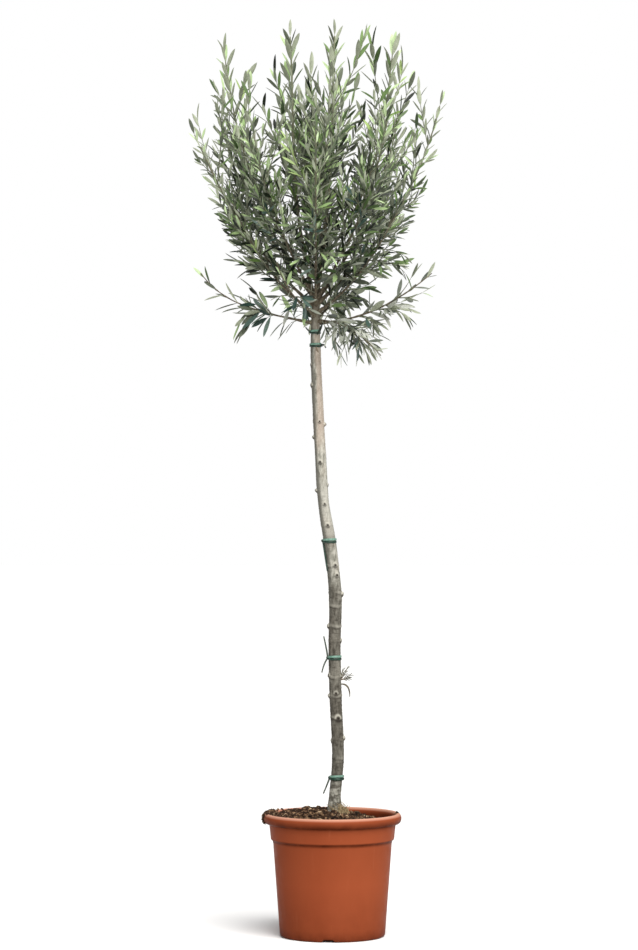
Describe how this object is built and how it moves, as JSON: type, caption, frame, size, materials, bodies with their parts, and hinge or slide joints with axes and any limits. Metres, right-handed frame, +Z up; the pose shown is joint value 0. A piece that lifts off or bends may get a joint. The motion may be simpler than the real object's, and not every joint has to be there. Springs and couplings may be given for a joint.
{
  "type": "potted olive tree",
  "caption": "Young standard olive tree with one clear stem and a loose bushy head, tied along its trunk, in a round plastic nursery pot with a rolled lip.",
  "frame": {"origin": "the middle of the pot's flat underside, on the surface that the pot stands on", "axes": "+Z up along the trunk, -Y towards the front, +X to the right seen from the front"},
  "size_m": [0.5606, 0.5192, 1.9908],
  "materials": {
    "pot_plastic": "satin",
    "soil": "matte",
    "bark": "matte",
    "tie_plastic": "satin",
    "foliage": "matte"
  },
  "bodies": {
    "root": {"pot": "pot_plastic", "soil": "soil", "trunk": "bark", "tie_1": "tie_plastic", "tie_2": "tie_plastic", "tie_3": "tie_plastic", "tie_4": "tie_plastic", "tie_5": "tie_plastic", "bough_top_centre": "bark", "bough_top_mid": "bark", "bough_top_left": "bark", "bough_top_right": "bark", "bough_top_front": "bark", "bough_top_back": "bark", "bough_left": "bark", "bough_left_low": "bark", "bough_right": "bark", "bough_right_low": "bark", "bough_front": "bark", "bough_front_left": "bark", "bough_front_right": "bark", "bough_back": "bark", "bough_back_left": "bark", "bough_back_right": "bark", "bough_low_left": "bark", "bough_low_right": "bark", "bough_low_droop": "bark", "bough_low_back": "bark", "bough_low_front": "bark", "mass_top_centre": "foliage", "mass_top_mid": "foliage", "mass_top_left": "foliage", "mass_top_right": "foliage", "mass_top_front": "foliage", "mass_top_back": "foliage", "mass_left": "foliage", "mass_left_low": "foliage", "mass_right": "foliage", "mass_right_low": "foliage", "mass_front": "foliage", "mass_front_left": "foliage", "mass_front_right": "foliage", "mass_back": "foliage", "mass_back_left": "foliage", "mass_back_right": "foliage", "mass_low_left": "foliage", "mass_low_right": "foliage", "mass_low_droop": "foliage", "mass_low_back": "foliage", "mass_low_front": "foliage"}
  },
  "joints": []
}
